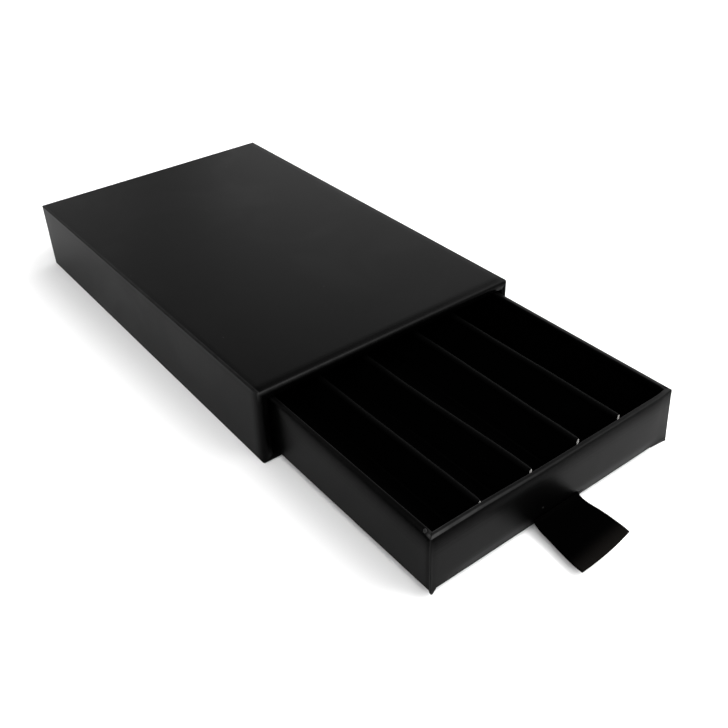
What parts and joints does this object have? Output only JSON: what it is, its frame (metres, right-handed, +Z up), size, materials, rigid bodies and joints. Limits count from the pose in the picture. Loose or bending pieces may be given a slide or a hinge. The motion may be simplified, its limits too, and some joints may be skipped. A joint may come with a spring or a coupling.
{
  "type": "sliding drawer gift box",
  "caption": "Flat rigid board gift box: a sleeve closed at the back, with a drawer tray that slides out on a ribbon pull and has lengthwise folded card dividers.",
  "frame": {"origin": "middle of the sleeve's underside, on the surface that the box stands on", "axes": "+Z up, +Y towards the sleeve's closed back, so the mouth faces -Y and the drawer pulls out along -Y; +X to the right when facing the mouth from the front, looking along +Y"},
  "size_m": [0.09, 0.2262, 0.0236],
  "materials": {
    "greyboard": "raw grey board, matt, fibrous",
    "cover_paper": "black soft-touch paper, matt",
    "lining_paper": "black uncoated paper, matt",
    "stay_tape": "brown kraft tape, matt",
    "insert_card": "black card, matt, with a pale core at its cut ends",
    "ribbon_satin": "black woven ribbon, soft sheen"
  },
  "bodies": {
    "sleeve": {"sleeve_top_board": "greyboard", "sleeve_bottom_board": "greyboard", "sleeve_left_board": "greyboard", "sleeve_right_board": "greyboard", "sleeve_back_board": "greyboard", "sleeve_wrap": "cover_paper", "sleeve_base_sheet": "cover_paper", "sleeve_liner": "lining_paper", "sleeve_stay_bottom_left": "stay_tape", "sleeve_stay_bottom_right": "stay_tape", "sleeve_stay_top_right": "stay_tape", "sleeve_stay_top_left": "stay_tape", "sleeve_stay_back_left": "stay_tape", "sleeve_stay_back_right": "stay_tape", "sleeve_stay_back_bottom": "stay_tape", "sleeve_stay_back_top": "stay_tape"},
    "drawer": {"tray_base_board": "greyboard", "tray_left_board": "greyboard", "tray_right_board": "greyboard", "tray_front_board": "greyboard", "tray_back_board": "greyboard", "tray_wrap": "cover_paper", "tray_lining": "lining_paper", "tray_stay_front_left": "stay_tape", "tray_stay_front_right": "stay_tape", "tray_stay_back_right": "stay_tape", "tray_stay_back_left": "stay_tape", "divider_insert": "insert_card", "ribbon_pull": "ribbon_satin"}
  },
  "joints": [
    {"name": "drawer_slide", "type": "slide", "parent": "sleeve", "child": "drawer", "axis": [0, -1, 0], "range_m": [-0.06226, 0.05274]}
  ]
}
